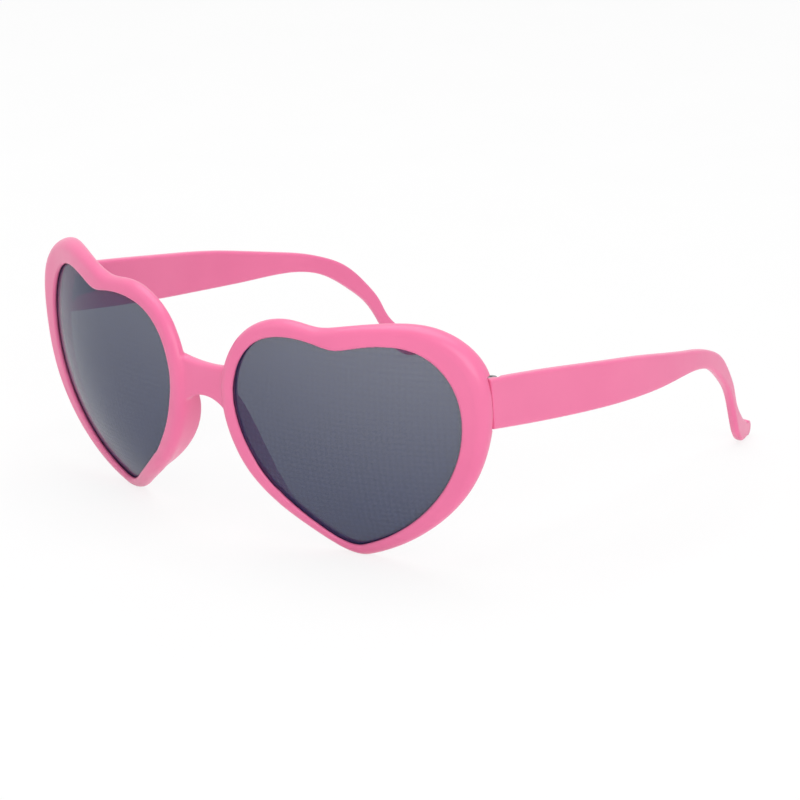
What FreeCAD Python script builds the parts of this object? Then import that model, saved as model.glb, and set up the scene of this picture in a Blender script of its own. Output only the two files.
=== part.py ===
import FreeCAD, Part
import math
import os
from FreeCAD import Placement, Rotation, Vector

# Heart-shaped sunglasses, resting open on a table. Millimetres and degrees.
# +Z is up and the table is z = 0. The front faces -Y, the temples run back along +Y,
# and X = 0 is the plane of symmetry. Each left piece (+X) is mirrored to make the right one.

# Lens opening: a heart, measured in its own upright plane
OPENING_WIDTH = 57.4
OPENING_HEIGHT = 51.1
NOSE_SPACING = 23.1
WRAP_ANGLE = 15.5
BASE_CURVE_RADIUS = 77.0
CROWN_SHARE = 0.742

# Rim: its width around the opening, how far its outer edge falls back, and its section
RIM_BOTTOM = 2.9
RIM_SIDE = 3.7
RIM_CHEEK = 5.3
RIM_OUTER = 6.2
RIM_CORNER = 8.0
RIM_BROW = 6.2
RIM_TOP = 4.9
RIM_CUSP = 5.0
RIM_NOSE = 3.7
RIM_PAD = 3.8
RIM_LOWER = 2.6
FALL_BOTTOM = 0.6
FALL_OUTER = 0.3
FALL_TOP = 0.6
FALL_NOSE = 0.5
RIM_DEPTH = 3.4
STEP_DEPTH = 4.0
SIDE_DEPTH = 4.8
CORNER_DEPTH = 5.6
RIM_ROUND = 1.8
STEP_ROUND = 2.1
SIDE_ROUND = 2.7
CORNER_ROUND = 3.4
RIM_BACK_ROUND = 1.5
OPENING_ROUND = 0.4

# Lens and its groove
LENS_RECESS = 0.9
LENS_THICKNESS = 1.1
GROOVE_DEPTH = 0.9
LENS_PLAY = 0.1

# Bridge and nose pads
BRIDGE_TOP = 41.7
BRIDGE_TOP_RISE = 0.8
BRIDGE_UNDERSIDE = 33.7
BRIDGE_ARCH_DROP = 4.4
BRIDGE_FRONT = -1.3
BRIDGE_THICKNESS = 3.0
BRIDGE_ROUND = 1.0
BRIDGE_OVERLAP = 0.4
PAD_REACH = 2.2
PAD_INSET = 0.2
PAD_WALL = 1.8
PAD_SPLAY = 0.35
PAD_HEIGHT_CENTRE = 22.9
PAD_ROUND_RADIUS = 21.8

# Joint, where the temple butts against the back of the rim's outer corner
JOINT_SETBACK = 3.2
JOINT_LEAN = 6.2
JOINT_GAP = 0.1
JOINT_HEIGHT = 12.2
JOINT_SHARE = 0.761

# Temple: outline in side view, bow in plan
TEMPLE_LENGTH = 122.4
TEMPLE_INSET = 0.8
TEMPLE_THICKNESS = 2.4
TEMPLE_ROUND = 0.8
BOW_START = 41.2
BOW_RADIUS = 200.0
BOW_TURN = 20.0

# Hinge
HINGE_INSET = 0.8
HINGE_SETBACK = 3.3
HINGE_DROP = 1.5
BARREL_RADIUS = 1.5
BARREL_HEIGHT = 2.4
BARREL_GAP = 0.1
SCREW_RADIUS = 0.7
SCREW_PLAY = 0.05
SCREW_HEAD_RADIUS = 1.2
SCREW_HEAD_HEIGHT = 0.6
SCREW_SLOT = 0.35
LEAF_THICKNESS = 1.0
LEAF_PROUD = 0.2
FRONT_LEAF_LENGTH = 3.8
TEMPLE_LEAF_LENGTH = 8.0
ANCHOR_RADIUS = 0.7
ANCHOR_LENGTH = 1.0
FRONT_ANCHOR_ACROSS = 0.35
FRONT_ANCHORS_UP = (0.3, 0.7)
TEMPLE_ANCHORS_ALONG = (0.35, 0.8)
LEAF_PLAY = 0.05
SWING_CLEARANCE = 0.35

# Heart outline, counter-clockwise from the bottom: share of the width from the nose side,
# share of the height, then the rim's width, the fall of its face, its depth and its front rounding there
HEART = (
    (0.536, 0.000, RIM_BOTTOM, FALL_BOTTOM, RIM_DEPTH, RIM_ROUND),
    (0.777, 0.163, RIM_SIDE, FALL_OUTER, RIM_DEPTH, RIM_ROUND),
    (0.960, 0.439, RIM_CHEEK, FALL_OUTER, STEP_DEPTH, STEP_ROUND),
    (1.000, 0.649, RIM_OUTER, FALL_OUTER, SIDE_DEPTH, SIDE_ROUND),
    (0.956, 0.852, RIM_CORNER, FALL_OUTER, CORNER_DEPTH, CORNER_ROUND),
    (0.833, 0.976, RIM_BROW, FALL_TOP, SIDE_DEPTH, SIDE_ROUND),
    (0.704, 1.000, RIM_TOP, FALL_TOP, STEP_DEPTH, STEP_ROUND),
    (0.570, 0.978, RIM_CUSP, FALL_TOP, RIM_DEPTH, RIM_ROUND),
    (0.479, 0.960, RIM_CUSP, FALL_TOP, RIM_DEPTH, RIM_ROUND),
    (0.397, 0.974, RIM_NOSE, FALL_TOP, RIM_DEPTH, RIM_ROUND),
    (0.284, 0.984, RIM_NOSE, FALL_TOP, RIM_DEPTH, RIM_ROUND),
    (0.122, 0.934, RIM_NOSE, FALL_NOSE, RIM_DEPTH, RIM_ROUND),
    (0.023, 0.794, RIM_NOSE, FALL_NOSE, RIM_DEPTH, RIM_ROUND),
    (0.007, 0.581, RIM_PAD, FALL_NOSE, RIM_DEPTH, RIM_ROUND),
    (0.108, 0.323, RIM_PAD, FALL_NOSE, RIM_DEPTH, RIM_ROUND),
    (0.357, 0.072, RIM_LOWER, FALL_BOTTOM, RIM_DEPTH, RIM_ROUND),
)
CUSP_SHARE = 0.474

# Temple outline in side view, from the joint back to the end of the ear hook:
# share of the length behind the joint, share of the height of the joint's top
TEMPLE_TOP_EDGE = (
    (0.000, 1.000),
    (0.191, 0.936),
    (0.335, 0.879),
    (0.451, 0.831),
    (0.536, 0.786),
    (0.628, 0.735),
    (0.691, 0.699),
    (0.751, 0.648),
    (0.787, 0.603),
    (0.821, 0.534),
    (0.850, 0.453),
    (0.877, 0.359),
    (0.896, 0.263),
    (0.912, 0.211),
    (0.930, 0.167),
    (0.953, 0.119),
    (0.979, 0.084),
)
TEMPLE_UNDER_EDGE = (
    (0.000, 0.745),
    (0.184, 0.682),
    (0.330, 0.644),
    (0.450, 0.623),
    (0.538, 0.614),
    (0.617, 0.612),
    (0.681, 0.599),
    (0.738, 0.557),
    (0.774, 0.505),
    (0.810, 0.436),
    (0.845, 0.355),
    (0.868, 0.271),
    (0.884, 0.194),
    (0.897, 0.132),
    (0.909, 0.081),
    (0.923, 0.040),
    (0.941, 0.008),
    (0.960, 0.000),
    (0.980, 0.006),
)
TEMPLE_END = (1.000, 0.040)

FAR = 200.0
ACROSS = Vector(1, 0, 0)
BACK = Vector(0, 1, 0)
UP = Vector(0, 0, 1)

WRAP_COS = math.cos(math.radians(WRAP_ANGLE))
WRAP_SIN = math.sin(math.radians(WRAP_ANGLE))
NOSE_U = -CUSP_SHARE * OPENING_WIDTH
OUTER_U = NOSE_U + OPENING_WIDTH
HEART_X = NOSE_SPACING / 2 - NOSE_U * WRAP_COS
CROWN_HEIGHT = RIM_BOTTOM + CROWN_SHARE * OPENING_HEIGHT
JOINT_U = OUTER_U + RIM_OUTER
OUTER_DEPTH = BASE_CURVE_RADIUS - math.sqrt(BASE_CURVE_RADIUS ** 2 - OUTER_U ** 2)
JOINT_DEPTH = OUTER_DEPTH + JOINT_SETBACK
JOINT_Y = JOINT_U * WRAP_SIN + JOINT_DEPTH * WRAP_COS
JOINT_Z = RIM_BOTTOM + JOINT_SHARE * OPENING_HEIGHT
JOINT_BOTTOM = JOINT_Z - JOINT_HEIGHT / 2
JOINT_TOP = JOINT_Z + JOINT_HEIGHT / 2
TEMPLE_X = HEART_X + JOINT_U * WRAP_COS - JOINT_DEPTH * WRAP_SIN - TEMPLE_INSET
TEMPLE_INNER = TEMPLE_X - TEMPLE_THICKNESS / 2
HINGE_X = TEMPLE_INNER - HINGE_INSET
HINGE_Y = JOINT_Y + HINGE_SETBACK
HINGE_TOP = JOINT_TOP - HINGE_DROP
UPPER_BARREL_Z = HINGE_TOP - BARREL_HEIGHT
MIDDLE_BARREL_Z = UPPER_BARREL_Z - BARREL_GAP - BARREL_HEIGHT
HINGE_BOTTOM = MIDDLE_BARREL_Z - BARREL_GAP - BARREL_HEIGHT


def joint_y(height):
    """Depth of the leaning face where the temple butts against the rim."""
    return JOINT_Y - (height - JOINT_Z) * math.tan(math.radians(JOINT_LEAN))


def smooth_loop(points):
    curve = Part.BSplineCurve()
    curve.interpolate(Points=points, PeriodicFlag=True)
    return curve


def smooth_curve(points):
    curve = Part.BSplineCurve()
    curve.interpolate(points)
    return curve


def heart_points(widths):
    """Points of the opening's outline, each moved outwards by its own width."""
    points = []
    for across, up, *_ in HEART:
        points.append(Vector(NOSE_U + across * OPENING_WIDTH, 0, RIM_BOTTOM + up * OPENING_HEIGHT))
    opening = smooth_loop(points)
    moved = []
    for point, knot, width in zip(points, opening.getKnots(), widths):
        tangent = opening.tangent(knot)[0]
        outwards = Vector(tangent.z, 0, -tangent.x)
        moved.append(point + outwards * width)
    return moved


def even_heart(width):
    return smooth_loop(heart_points([width] * len(HEART)))


def rim_heart(inset):
    return smooth_loop(heart_points([row[2] - inset for row in HEART]))


def base_depth(point):
    """How far the base curve lies behind its front-most point."""
    height = point.z - CROWN_HEIGHT
    return BASE_CURVE_RADIUS - math.sqrt(BASE_CURVE_RADIUS ** 2 - point.x ** 2 - height ** 2)


def rim_loop(widths, depths):
    """One loop round the rim, at each row's width from the opening and depth behind its front edge."""
    inner_points = heart_points([0.0] * len(HEART))
    points = []
    for inner, moved, width, depth, row in zip(inner_points, heart_points(widths), widths, depths, HEART):
        fall = row[3] * width / row[2]
        points.append(moved + BACK * (base_depth(inner) + fall + depth))
    return Part.Wire(smooth_loop(points).toShape())


def prism(curve, start, sweep):
    face = Part.Face(Part.Wire(curve.toShape()))
    face.translate(BACK * start)
    return face.extrude(sweep)


def deep_prism(curve):
    """A heart run straight through the front, from well before it to well behind it."""
    return prism(curve, -HEART_X, BACK * 2 * HEART_X)


def base_sphere(depth):
    """The front's base curve, moved back by a depth."""
    centre = Vector(0, BASE_CURVE_RADIUS, CROWN_HEIGHT)
    return Part.makeSphere(BASE_CURVE_RADIUS - depth, centre)


def curved_layer(solid, front, back):
    return solid.common(base_sphere(front)).cut(base_sphere(back))


def in_place(shape):
    """Move a piece from the heart's own plane to its place on the left of the front."""
    placed = shape.copy()
    placed.Placement = Placement(Vector(HEART_X, 0, 0), Rotation(UP, WRAP_ANGLE))
    return placed


def mirrored(shape):
    return shape.mirror(Vector(0, 0, 0), ACROSS)


def box(x0, x1, y0, y1, z0, z1):
    return Part.makeBox(x1 - x0, y1 - y0, z1 - z0, Vector(x0, y0, z0))


def leaning(plan, bottom, top):
    """A plan outline given as (x, distance behind the joint face), swept up along that face."""
    corners = [Vector(x, joint_y(bottom) + y, bottom) for x, y in plan]
    face = Part.Face(Part.makePolygon(corners + corners[:1]))
    return face.extrude(Vector(0, joint_y(top) - joint_y(bottom), top - bottom))


def leaning_box(x0, x1, y0, y1, bottom, top):
    return leaning(((x0, y0), (x1, y0), (x1, y1), (x0, y1)), bottom, top)


def flat_strip(first, second):
    return Part.makeLoft([first, second], False, True)


def round_strip(edge, rounds, turn):
    """The rounded outer corner of the rim, from its face to its side or from its back to its side."""
    full = [row[2] for row in HEART]
    loops = []
    for inwards in (1.0, 1 - math.sqrt(0.5), 0.0):
        along = 1 - math.sqrt(1 - (1 - inwards) ** 2)
        widths = [width - inwards * radius for width, radius in zip(full, rounds)]
        depths = [depth + turn * along * radius for depth, radius in zip(edge, rounds)]
        loops.append(rim_loop(widths, depths))
    return loops[0], loops[-1], Part.makeLoft(loops, False, False)


def rim():
    none = [0.0] * len(HEART)
    lip = [OPENING_ROUND] * len(HEART)
    back = [row[4] for row in HEART]
    wall_front = rim_loop(none, lip)
    face_inner = rim_loop(lip, none)
    face_outer, side_front, front_corner = round_strip(none, [row[5] for row in HEART], 1.0)
    back_outer, side_back, back_corner = round_strip(back, [RIM_BACK_ROUND] * len(HEART), -1.0)
    wall_back = rim_loop(none, back)
    strips = [
        flat_strip(wall_back, wall_front),
        flat_strip(wall_front, face_inner),
        flat_strip(face_inner, face_outer),
        front_corner,
        flat_strip(side_front, side_back),
        back_corner,
        flat_strip(back_outer, wall_back),
    ]
    shell = Part.makeShell([face for strip in strips for face in strip.Faces])
    shell.sewShape()
    return Part.makeSolid(shell)


def nose_pad():
    """A wing that goes back from the nose side of the rim and splays outwards."""
    root = RIM_DEPTH + RIM_NOSE + RIM_ROUND
    sweep = Vector(PAD_SPLAY, 1, 0) * (RIM_DEPTH + 2 * PAD_REACH)
    outside = prism(rim_heart(PAD_INSET), root, sweep)
    wall = outside.cut(prism(rim_heart(PAD_INSET + PAD_WALL), root, sweep))
    tip_depth = root + RIM_DEPTH + PAD_REACH
    axis_start = Vector(-HEART_X, tip_depth - PAD_ROUND_RADIUS, PAD_HEIGHT_CENTRE)
    nose_half = Part.makeCylinder(PAD_ROUND_RADIUS, HEART_X - RIM_BOTTOM, axis_start, ACROSS)
    return wall.common(nose_half)


def front_half():
    opening = deep_prism(even_heart(0.0))
    half = in_place(rim().fuse(nose_pad().cut(opening)))
    temple_room = leaning_box(
        HINGE_X - BARREL_RADIUS - SWING_CLEARANCE,
        FAR,
        0.0,
        FAR,
        JOINT_BOTTOM - SWING_CLEARANCE,
        JOINT_TOP + SWING_CLEARANCE,
    )
    half = half.cut(temple_room)
    groove = curved_layer(
        deep_prism(even_heart(GROOVE_DEPTH)),
        LENS_RECESS - LENS_PLAY,
        LENS_RECESS + LENS_THICKNESS + LENS_PLAY,
    )
    half = half.cut(in_place(groove))
    return half.cut(front_leaf_pocket())


def bridge():
    end_x = NOSE_SPACING / 2 - RIM_PAD + BRIDGE_OVERLAP
    low = BRIDGE_UNDERSIDE - BRIDGE_ARCH_DROP
    high = BRIDGE_TOP + BRIDGE_TOP_RISE
    left_low = Vector(end_x, BRIDGE_FRONT, low)
    left_high = Vector(end_x, BRIDGE_FRONT, high)
    right_low = Vector(-end_x, BRIDGE_FRONT, low)
    right_high = Vector(-end_x, BRIDGE_FRONT, high)
    saddle = Part.Arc(left_high, Vector(0, BRIDGE_FRONT, BRIDGE_TOP), right_high)
    arch = Part.Arc(right_low, Vector(0, BRIDGE_FRONT, BRIDGE_UNDERSIDE), left_low)
    edges = [
        Part.makeLine(left_low, left_high),
        saddle.toShape(),
        Part.makeLine(right_high, right_low),
        arch.toShape(),
    ]
    outline = Part.Wire(edges)
    bar = Part.Face(outline).extrude(BACK * BRIDGE_THICKNESS)
    along = [edge for edge in bar.Edges if edge.BoundBox.XLength > end_x]
    return bar.makeFillet(BRIDGE_ROUND, along)


def front_frame():
    half = front_half()
    return half.fuse([mirrored(half), bridge()])


def lens():
    blank = deep_prism(even_heart(GROOVE_DEPTH - LENS_PLAY))
    return in_place(curved_layer(blank, LENS_RECESS, LENS_RECESS + LENS_THICKNESS))


def temple_band():
    """The temple's thickness in plan: straight from the joint, bowed inwards, then straight to its end."""
    half = TEMPLE_THICKNESS / 2
    turn = math.radians(BOW_TURN)
    centre = Vector(TEMPLE_X - BOW_RADIUS, JOINT_Y + BOW_START, 0)
    tail = Vector(-math.sin(turn), math.cos(turn), 0) * TEMPLE_LENGTH

    def on_arc(side, angle):
        return centre + Vector(math.cos(angle), math.sin(angle), 0) * (BOW_RADIUS + side)

    def side_edges(side):
        front = Vector(TEMPLE_X + side, 0, 0)
        start, middle, end = [on_arc(side, share * turn) for share in (0, 0.5, 1)]
        bow = Part.Arc(start, middle, end).toShape()
        return front, end + tail, [Part.makeLine(front, start), bow, Part.makeLine(end, end + tail)]

    outer_front, outer_end, outer_edges = side_edges(half)
    inner_front, inner_end, inner_edges = side_edges(-half)
    ends = [Part.makeLine(inner_front, outer_front), Part.makeLine(outer_end, inner_end)]
    face = Part.Face(Part.Wire(Part.__sortEdges__(outer_edges + inner_edges + ends)))
    face.translate(UP * -JOINT_TOP)
    return face.extrude(UP * 3 * JOINT_TOP)


def temple_point(along, up):
    height = up * JOINT_TOP
    start = joint_y(height) + JOINT_GAP
    return Vector(0, start + along * (JOINT_Y + TEMPLE_LENGTH - start), height)


def temple_side():
    """The temple's outline in side view, run through its whole thickness."""
    top = [temple_point(*share) for share in TEMPLE_TOP_EDGE]
    under = [temple_point(*share) for share in TEMPLE_UNDER_EDGE]
    edges = [
        Part.makeLine(under[0], top[0]),
        smooth_curve(top).toShape(),
        Part.Arc(top[-1], temple_point(*TEMPLE_END), under[-1]).toShape(),
        smooth_curve(under).toShape(),
    ]
    outline = Part.Wire(Part.__sortEdges__(edges))
    return Part.Face(outline).extrude(ACROSS * FAR)


def temple():
    arm = temple_side().common(temple_band())
    long_edges = [edge for edge in arm.Edges if edge.BoundBox.YLength > JOINT_Y]
    arm = arm.makeFillet(TEMPLE_ROUND, long_edges)
    swing = Part.makeCylinder(
        BARREL_RADIUS + SWING_CLEARANCE,
        FAR,
        Vector(HINGE_X, HINGE_Y, HINGE_BOTTOM - SWING_CLEARANCE),
    )
    return arm.cut(swing).cut(temple_leaf_pocket())


def barrel(bottom):
    centre = Vector(HINGE_X, HINGE_Y, bottom)
    return Part.makeCylinder(BARREL_RADIUS, BARREL_HEIGHT, centre)


def screw_hole():
    centre = Vector(HINGE_X, HINGE_Y, 0)
    return Part.makeCylinder(SCREW_RADIUS + SCREW_PLAY, FAR, centre)


def front_leaf_plate(play):
    inner = HINGE_X + BARREL_RADIUS / 2 - FRONT_LEAF_LENGTH
    plate = leaning_box(
        inner - play,
        HINGE_X + BARREL_RADIUS / 2 + play,
        LEAF_PROUD - LEAF_THICKNESS - play,
        LEAF_PROUD + play,
        HINGE_BOTTOM - play,
        HINGE_TOP + play,
    )
    anchors = []
    for share in FRONT_ANCHORS_UP:
        height = HINGE_BOTTOM + share * (HINGE_TOP - HINGE_BOTTOM)
        start = Vector(inner + FRONT_ANCHOR_ACROSS * FRONT_LEAF_LENGTH, joint_y(height), height)
        length = LEAF_THICKNESS + ANCHOR_LENGTH + play
        anchors.append(Part.makeCylinder(ANCHOR_RADIUS + play, length, start, BACK * -1))
    return plate.fuse(anchors)


def front_leaf_pocket():
    return front_leaf_plate(LEAF_PLAY)


def hinge_front_leaf():
    leaf = front_leaf_plate(0.0)
    for bottom in (HINGE_BOTTOM, UPPER_BARREL_Z):
        root = joint_y(bottom + BARREL_HEIGHT) - LEAF_THICKNESS / 2
        neck = box(
            HINGE_X - BARREL_RADIUS,
            HINGE_X,
            root,
            HINGE_Y,
            bottom,
            bottom + BARREL_HEIGHT,
        )
        leaf = leaf.fuse([neck, barrel(bottom)])
    return leaf.cut(screw_hole()).removeSplitter()


def temple_leaf_plate(play):
    """The plate let into the temple's inner face, with its neck to the middle barrel."""
    start = HINGE_Y + BARREL_RADIUS + SWING_CLEARANCE
    inner = TEMPLE_INNER - LEAF_PROUD
    plate = box(
        inner - play,
        inner + LEAF_THICKNESS + play,
        start - play,
        start + TEMPLE_LEAF_LENGTH + play,
        HINGE_BOTTOM - play,
        MIDDLE_BARREL_Z + BARREL_HEIGHT + play,
    )
    neck = box(
        inner - play,
        inner + LEAF_THICKNESS + play,
        HINGE_Y,
        start,
        MIDDLE_BARREL_Z - play,
        MIDDLE_BARREL_Z + BARREL_HEIGHT + play,
    )
    anchors = []
    for share in TEMPLE_ANCHORS_ALONG:
        centre = Vector(inner, start + share * TEMPLE_LEAF_LENGTH, MIDDLE_BARREL_Z + BARREL_HEIGHT / 2)
        length = LEAF_THICKNESS + ANCHOR_LENGTH + play
        anchors.append(Part.makeCylinder(ANCHOR_RADIUS + play, length, centre, ACROSS))
    return plate.fuse([neck] + anchors)


def temple_leaf_pocket():
    return temple_leaf_plate(LEAF_PLAY)


def hinge_temple_leaf():
    leaf = temple_leaf_plate(0.0).fuse(barrel(MIDDLE_BARREL_Z))
    return leaf.cut(screw_hole()).removeSplitter()


def hinge_screw():
    shaft = Part.makeCylinder(SCREW_RADIUS, HINGE_TOP - HINGE_BOTTOM, Vector(HINGE_X, HINGE_Y, HINGE_BOTTOM))
    head = Part.makeCylinder(SCREW_HEAD_RADIUS, SCREW_HEAD_HEIGHT, Vector(HINGE_X, HINGE_Y, HINGE_TOP))
    slot = box(
        HINGE_X - BARREL_RADIUS,
        HINGE_X + BARREL_RADIUS,
        HINGE_Y - SCREW_SLOT / 2,
        HINGE_Y + SCREW_SLOT / 2,
        HINGE_TOP + SCREW_HEAD_HEIGHT / 2,
        HINGE_TOP + SCREW_HEAD_HEIGHT,
    )
    return shaft.fuse(head).cut(slot).removeSplitter()


def export(shape, node):
    shape.exportStep("parts/" + node + ".step")
    print(node, "solids", len(shape.Solids), "valid", shape.isValid(), "volume", round(shape.Volume, 1))


def main():
    os.makedirs("parts", exist_ok=True)
    nodes = {"front_frame": front_frame()}
    pieces = {
        "lens": lens(),
        "temple": temple(),
        "hinge_front_leaf": hinge_front_leaf(),
        "hinge_temple_leaf": hinge_temple_leaf(),
        "hinge_screw": hinge_screw(),
    }
    for name, shape in pieces.items():
        nodes[name + "_left"] = shape
        nodes[name + "_right"] = mirrored(shape)
    overall = Part.makeCompound(list(nodes.values())).optimalBoundingBox()
    to_origin = Vector(0, -(overall.YMin + overall.YMax) / 2, -overall.ZMin)
    for name, shape in nodes.items():
        export(shape.translated(to_origin), name)


main()
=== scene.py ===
import math

import bpy
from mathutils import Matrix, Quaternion, Vector


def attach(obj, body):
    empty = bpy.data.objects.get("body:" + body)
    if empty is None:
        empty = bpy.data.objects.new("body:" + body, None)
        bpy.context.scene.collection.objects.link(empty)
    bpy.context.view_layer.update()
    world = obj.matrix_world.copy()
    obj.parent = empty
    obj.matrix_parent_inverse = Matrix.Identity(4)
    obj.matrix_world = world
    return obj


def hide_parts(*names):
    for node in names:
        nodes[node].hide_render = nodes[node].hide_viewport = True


# Pink heart-shaped sunglasses, open on a white table, seen from the front left of the wearer.
# Metres, degrees and watts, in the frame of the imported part.

# Camera, with its lens and sensor in millimetres
CAMERA_PLACE = (0.594045, -0.684434, 0.312328)
CAMERA_AZIMUTH = 40.99
CAMERA_ELEVATION = 18.13
CAMERA_ROLL = -0.138
CAMERA_LENS = 173.907
CAMERA_SENSOR = 36.0

# Lamps: name, place, the point that the lamp faces, the side of its square and its power
LAMPS = (
    ("overhead", (-0.1, 0.0, 1.0), (0.0, 0.0, 0.0), 1.0, 6.0),
    ("front_fill", (0.9, -0.5, 0.5), (0.0, 0.0, 0.03), 0.8, 4.0),
    ("left_fill", (-0.6, -0.9, 0.6), (0.0, 0.0, 0.03), 0.6, 0.8),
)

# Noise patterns are given by their scale to the metre and their detail.
# Most of a noise lies between its low and its high value.
NOISE_LOW = 0.3
NOISE_HIGH = 0.7
BUMP_DEPTH = 0.0001

# White room and table
WHITE = (1.0, 1.0, 1.0, 1.0)
ROOM_LIGHT = 0.50
SEEN_LIGHT = 1.0
TABLE_HALF = 4.0
TABLE_GLOW_SHARE = 0.82
TABLE_DARK = (0.93, 0.93, 0.93, 1.0)
TABLE_PALE = (0.96, 0.96, 0.96, 1.0)
TABLE_PATCHES = (30.0, 3.0)
TABLE_ROUGHNESS = 0.7
TABLE_SPECULAR = 0.1

# Pink plastic
PINK_DEEP = (0.85, 0.158, 0.345, 1.0)
PINK_PALE = (0.89, 0.178, 0.370, 1.0)
PINK_PATCHES = (45.0, 3.0)
PINK_ROUGHNESS = (0.29, 0.36)
PINK_SMEARS = (260.0, 4.0)
PINK_GRAIN = (500.0, 2.0)
PINK_GRAIN_STRENGTH = 0.02
PINK_SPECULAR = 0.45
PINK_COAT = 0.2
PINK_COAT_ROUGHNESS = 0.18

# Lens tint: denser towards the bottom and at a slant, with a fine square pattern
LENS_DARK = (0.019, 0.032, 0.095, 1.0)
LENS_PALE = (0.026, 0.042, 0.120, 1.0)
LENS_ROUGHNESS = (0.16, 0.22)
LENS_SMEARS = (180.0, 3.0)
LENS_SPECULAR = 0.35
LENS_LOW = 0.004
LENS_HIGH = 0.054
TINT_LOW = 0.74
TINT_HIGH = 0.60
SLANT_TINT = 0.18
GRID_PITCH = 0.0014
GRID_REACH = 2.0
GRID_TINT = 0.025
GRID_STRENGTH = 0.05
WRAP_ANGLE = 15.5
LENS_EDGE_ANGLE = 30.0

# Hinge steel
STEEL_DARK = (0.17, 0.17, 0.18, 1.0)
STEEL_PALE = (0.27, 0.27, 0.28, 1.0)
STEEL_ROUGHNESS = (0.28, 0.42)
STEEL_MARKS = (500.0, 4.0)
STEEL_MARK_SCALE = (1.0, 1.0, 12.0)
STEEL_MARK_STRENGTH = 0.06

# Moulded pieces: the grain of their skin and how many rounds ease it
GRAIN = 0.00025
EASE_SHARE = 0.5
FRONT_ROUNDS = 4
ARM_ROUNDS = 3
NOSE_ROUNDS = 40

# Where the front is eased more: all of it near the middle, and further out the pads behind it
NOSE_HALF = 0.0105
PAD_HALF = 0.020
PAD_START = -0.0688
EASE_WIDTH = 0.001

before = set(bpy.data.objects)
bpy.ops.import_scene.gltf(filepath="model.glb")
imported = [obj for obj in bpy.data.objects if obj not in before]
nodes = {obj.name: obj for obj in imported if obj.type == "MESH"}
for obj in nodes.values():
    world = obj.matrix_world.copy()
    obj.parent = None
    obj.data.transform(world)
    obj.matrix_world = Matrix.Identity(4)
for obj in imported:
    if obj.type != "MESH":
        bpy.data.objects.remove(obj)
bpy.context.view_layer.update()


def new_object(name, data):
    made = bpy.data.objects.new(name, data)
    bpy.context.scene.collection.objects.link(made)
    return made


def new_material(name):
    material = bpy.data.materials.new(name)
    material.use_nodes = True
    tree = material.node_tree
    tree.nodes.clear()
    return material, tree


def add(tree, kind, **settings):
    node = tree.nodes.new(kind)
    for key, value in settings.items():
        setattr(node, key, value)
    return node


def put(node, **values):
    """Set the node's inputs, named with _ in place of each space."""
    for key, value in values.items():
        node.inputs[key.replace("_", " ")].default_value = value


def object_place(tree):
    return add(tree, "ShaderNodeTexCoord").outputs["Object"]


def mapped(tree, place, **values):
    """The place turned or scaled."""
    node = add(tree, "ShaderNodeMapping")
    put(node, **values)
    tree.links.new(place, node.inputs["Vector"])
    return node.outputs["Vector"]


def noise(tree, place, scale, detail):
    node = add(tree, "ShaderNodeTexNoise")
    put(node, Scale=scale, Detail=detail)
    tree.links.new(place, node.inputs["Vector"])
    return node.outputs["Fac"]


def spread(tree, value, low, high, start=NOISE_LOW, end=NOISE_HIGH):
    """The value, from start to end, laid out from low to high."""
    node = add(tree, "ShaderNodeMapRange")
    put(node, From_Min=start, From_Max=end, To_Min=low, To_Max=high)
    tree.links.new(value, node.inputs["Value"])
    return node.outputs["Result"]


def two_tone(tree, value, first, second, start=NOISE_LOW, end=NOISE_HIGH):
    """A colour that goes from first to second as the value goes from start to end."""
    node = add(tree, "ShaderNodeValToRGB")
    for stop, position, colour in zip(node.color_ramp.elements, (start, end), (first, second)):
        stop.position = position
        stop.color = colour
    tree.links.new(value, node.inputs["Fac"])
    return node.outputs["Color"]


def bump(tree, height, strength):
    node = add(tree, "ShaderNodeBump")
    put(node, Strength=strength, Distance=BUMP_DEPTH)
    tree.links.new(height, node.inputs["Height"])
    return node.outputs["Normal"]


def times(tree, value, factor):
    node = add(tree, "ShaderNodeMath", operation="MULTIPLY")
    node.inputs[1].default_value = factor
    tree.links.new(value, node.inputs[0])
    return node.outputs[0]


def joined(tree, operation, first, *others):
    """All values joined by one operation, such as their sum."""
    for other in others:
        node = add(tree, "ShaderNodeMath", operation=operation)
        tree.links.new(first, node.inputs[0])
        tree.links.new(other, node.inputs[1])
        first = node.outputs[0]
    return first


def mixed(tree, share, first, second):
    """The first shader where the share is 0, and the second where it is 1."""
    node = add(tree, "ShaderNodeMixShader")
    tree.links.new(share, node.inputs["Fac"])
    tree.links.new(first, node.inputs[1])
    tree.links.new(second, node.inputs[2])
    return node.outputs["Shader"]


def surface(tree, patterns, **values):
    """A shader with patterns on some inputs, and values that are the same all over on others."""
    shader = add(tree, "ShaderNodeBsdfPrincipled")
    for key, pattern in patterns.items():
        tree.links.new(pattern, shader.inputs[key])
    put(shader, **values)
    return shader.outputs["BSDF"]


def finish_material(tree, shader):
    output = add(tree, "ShaderNodeOutputMaterial")
    tree.links.new(shader, output.inputs["Surface"])


def pink_plastic():
    """Moulded plastic with a satin gloss, a faint unevenness of colour and a very fine grain."""
    material, tree = new_material("pink_plastic")
    place = object_place(tree)
    patterns = {
        "Base Color": two_tone(tree, noise(tree, place, *PINK_PATCHES), PINK_DEEP, PINK_PALE),
        "Roughness": spread(tree, noise(tree, place, *PINK_SMEARS), *PINK_ROUGHNESS),
        "Normal": bump(tree, noise(tree, place, *PINK_GRAIN), PINK_GRAIN_STRENGTH),
    }
    shader = surface(
        tree,
        patterns,
        Specular_IOR_Level=PINK_SPECULAR,
        Coat_Weight=PINK_COAT,
        Coat_Roughness=PINK_COAT_ROUGHNESS,
    )
    finish_material(tree, shader)
    return material


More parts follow.
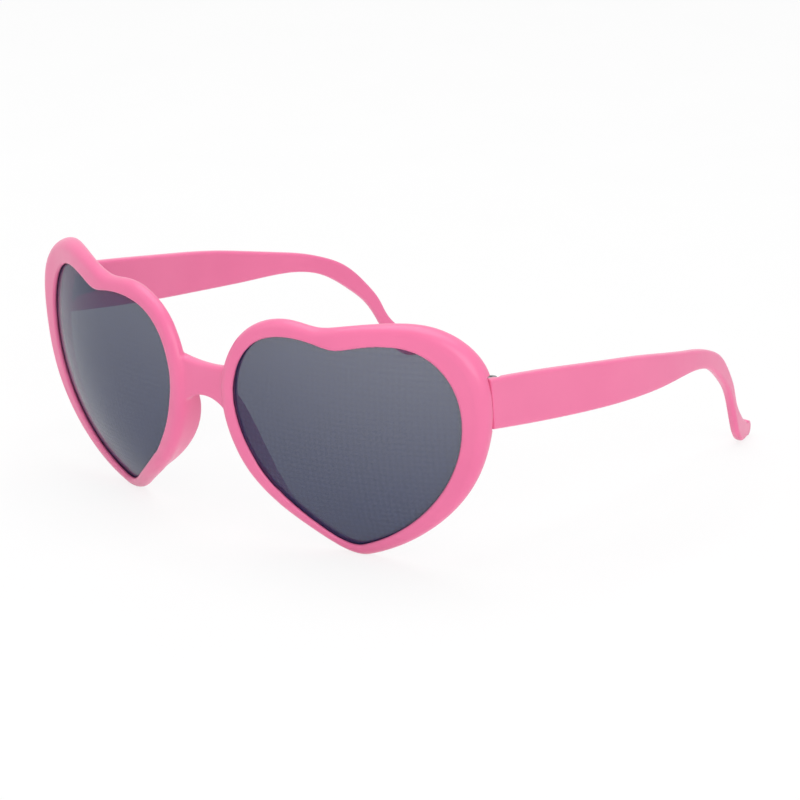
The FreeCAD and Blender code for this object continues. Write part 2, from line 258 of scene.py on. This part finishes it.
def square_grid(tree, across, up):
    """The sum of two crossed waves, from -GRID_REACH to GRID_REACH."""
    waves = []
    for place in (across, up):
        wave = add(tree, "ShaderNodeMath", operation="SINE")
        tree.links.new(times(tree, place, 2 * math.pi / GRID_PITCH), wave.inputs[0])
        waves.append(wave.outputs[0])
    return joined(tree, "ADD", *waves)


def tinted_lens(name, side):
    """Smoke-blue lens, partly see-through, with a fine square pattern pressed into it."""
    material, tree = new_material(name)
    place = object_place(tree)
    along_lens = mapped(tree, place, Rotation=(0.0, 0.0, math.radians(-side * WRAP_ANGLE)))
    parts = add(tree, "ShaderNodeSeparateXYZ")
    tree.links.new(along_lens, parts.inputs["Vector"])
    height = parts.outputs["Z"]
    grid = square_grid(tree, parts.outputs["X"], height)
    slant = add(tree, "ShaderNodeLayerWeight").outputs["Facing"]
    tint = joined(
        tree,
        "ADD",
        spread(tree, height, TINT_LOW, TINT_HIGH, LENS_LOW, LENS_HIGH),
        spread(tree, grid, -GRID_TINT, GRID_TINT, -GRID_REACH, GRID_REACH),
        spread(tree, slant, 0.0, SLANT_TINT, 0.0, 1.0),
    )
    patterns = {
        "Base Color": two_tone(tree, grid, LENS_DARK, LENS_PALE, 0.0, 1.0),
        "Roughness": spread(tree, noise(tree, place, *LENS_SMEARS), *LENS_ROUGHNESS),
        "Normal": bump(tree, grid, GRID_STRENGTH),
        "Alpha": tint,
    }
    finish_material(tree, surface(tree, patterns, Specular_IOR_Level=LENS_SPECULAR))
    return material


def hinge_steel():
    """Plain steel with fine drawn marks."""
    material, tree = new_material("hinge_steel")
    marks = noise(tree, mapped(tree, object_place(tree), Scale=STEEL_MARK_SCALE), *STEEL_MARKS)
    patterns = {
        "Base Color": two_tone(tree, marks, STEEL_DARK, STEEL_PALE),
        "Roughness": spread(tree, marks, *STEEL_ROUGHNESS),
        "Normal": bump(tree, marks, STEEL_MARK_STRENGTH),
    }
    finish_material(tree, surface(tree, patterns, Metallic=1.0))
    return material


def shade_smooth(mesh):
    for polygon in mesh.polygons:
        polygon.use_smooth = True


def ease(piece, rounds, group=""):
    """Smooth the piece, or one group of its points, and carry out all its modifiers."""
    smooth = piece.modifiers.new("ease", "SMOOTH")
    smooth.factor = EASE_SHARE
    smooth.iterations = rounds
    smooth.vertex_group = group
    graph = bpy.context.evaluated_depsgraph_get()
    piece.data = bpy.data.meshes.new_from_object(piece.evaluated_get(graph))
    piece.data.name = piece.name
    piece.modifiers.clear()


def mark_nose(piece):
    """Mark the bridge, the sides of the rims it grows from and the nose pads."""
    group = piece.vertex_groups.new(name="nose")
    for vertex in piece.data.vertices:
        across = abs(vertex.co.x)
        bridge = (NOSE_HALF - across) / EASE_WIDTH
        pads = min((PAD_HALF - across) / EASE_WIDTH, (vertex.co.y - PAD_START) / EASE_WIDTH)
        weight = max(bridge, pads)
        if weight > 0.0:
            group.add([vertex.index], min(weight, 1.0), "REPLACE")


def softened(node, name, grain, rounds, nose_rounds=0):
    """A moulded piece: the solid's own shape with its inner corners and edges slightly eased."""
    piece = new_object(name, nodes[node].data.copy())
    skin = piece.modifiers.new("skin", "REMESH")
    skin.mode = "VOXEL"
    skin.voxel_size = grain
    piece.modifiers.new("exact", "SHRINKWRAP").target = nodes[node]
    ease(piece, rounds)
    if nose_rounds:
        mark_nose(piece)
        ease(piece, nose_rounds, "nose")
        piece.vertex_groups.clear()
    shade_smooth(piece.data)
    piece.data.materials.clear()
    return piece


def smooth_copy(node, name, edge_angle):
    """The solid's own mesh, shaded smooth across its curved faces."""
    mesh = nodes[node].data.copy()
    mesh.name = name
    mesh.materials.clear()
    shade_smooth(mesh)
    mesh.set_sharp_from_angle(angle=math.radians(edge_angle))
    return new_object(name, mesh)


def dress(piece, node, body, material):
    piece.data.materials.append(material)
    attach(piece, body)
    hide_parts(node)


def make_object():
    pink = pink_plastic()
    steel = hinge_steel()
    grain = GRAIN
    nose_rounds = NOSE_ROUNDS
    front = softened("front_frame", "front_moulding", grain, FRONT_ROUNDS, nose_rounds)
    dress(front, "front_frame", "front", pink)
    for side, sign in (("left", 1), ("right", -1)):
        arm = softened("temple_" + side, "arm_" + side + "_moulding", grain, ARM_ROUNDS)
        dress(arm, "temple_" + side, "arm_" + side, pink)
        lens = smooth_copy("lens_" + side, "lens_" + side + "_tinted", LENS_EDGE_ANGLE)
        dress(lens, "lens_" + side, "front", tinted_lens("tinted_lens_" + side, sign))
        for node in ("hinge_front_leaf_", "hinge_temple_leaf_", "hinge_screw_"):
            metal = nodes[node + side]
            metal.data.materials.clear()
            metal.data.materials.append(steel)


def seen_directly(tree):
    """1 for what the camera sees, also in a reflection or through glass, and 0 for plain light."""
    path = add(tree, "ShaderNodeLightPath")
    kinds = ("Is Camera Ray", "Is Glossy Ray", "Is Transmission Ray")
    return joined(tree, "MAXIMUM", *[path.outputs[kind] for kind in kinds])


def white_table():
    """A white table that keeps a faint shadow of the glasses."""
    material, tree = new_material("white_table")
    patches = noise(tree, object_place(tree), *TABLE_PATCHES)
    paint = surface(
        tree,
        {"Base Color": two_tone(tree, patches, TABLE_DARK, TABLE_PALE)},
        Roughness=TABLE_ROUGHNESS,
        Specular_IOR_Level=TABLE_SPECULAR,
    )
    glow = add(tree, "ShaderNodeEmission")
    put(glow, Color=WHITE, Strength=SEEN_LIGHT)
    share = times(tree, seen_directly(tree), TABLE_GLOW_SHARE)
    finish_material(tree, mixed(tree, share, paint, glow.outputs["Emission"]))
    corners = [(x * TABLE_HALF, y * TABLE_HALF, 0.0) for x, y in ((-1, -1), (1, -1), (1, 1), (-1, 1))]
    mesh = bpy.data.meshes.new("table")
    mesh.from_pydata(corners, [], [(0, 1, 2, 3)])
    mesh.materials.append(material)
    table = new_object("table", mesh)


def white_room():
    """A room that looks white and gives an even light of its own strength."""
    world = bpy.data.worlds.new("white_room")
    world.use_nodes = True
    tree = world.node_tree
    tree.nodes.clear()
    lights = []
    for strength in (ROOM_LIGHT, SEEN_LIGHT):
        light = add(tree, "ShaderNodeBackground")
        put(light, Color=WHITE, Strength=strength)
        lights.append(light.outputs["Background"])
    output = add(tree, "ShaderNodeOutputWorld")
    tree.links.new(mixed(tree, seen_directly(tree), *lights), output.inputs["Surface"])
    bpy.context.scene.world = world


def soft_light(name, place, target, size, power):
    data = bpy.data.lights.new(name, "AREA")
    data.shape = "SQUARE"
    data.size = size
    data.energy = power
    lamp = new_object(name, data)
    lamp.location = place
    lamp.rotation_euler = (Vector(target) - Vector(place)).to_track_quat("-Z", "Y").to_euler()


def light_scene():
    white_room()
    white_table()
    for lamp in LAMPS:
        soft_light(*lamp)
    bpy.context.scene.view_settings.view_transform = "Standard"


def set_camera():
    azimuth = math.radians(CAMERA_AZIMUTH)
    elevation = math.radians(CAMERA_ELEVATION)
    back = Vector(
        (
            math.sin(azimuth) * math.cos(elevation),
            -math.cos(azimuth) * math.cos(elevation),
            math.sin(elevation),
        )
    )
    data = bpy.data.cameras.new("camera")
    data.sensor_width = CAMERA_SENSOR
    data.lens = CAMERA_LENS
    camera = new_object("camera", data)
    camera.location = CAMERA_PLACE
    level = (-back).to_track_quat("-Z", "Y")
    roll = Quaternion((0, 0, 1), math.radians(CAMERA_ROLL))
    camera.rotation_euler = (level @ roll).to_euler()
    bpy.context.scene.camera = camera


make_object()
light_scene()
set_camera()
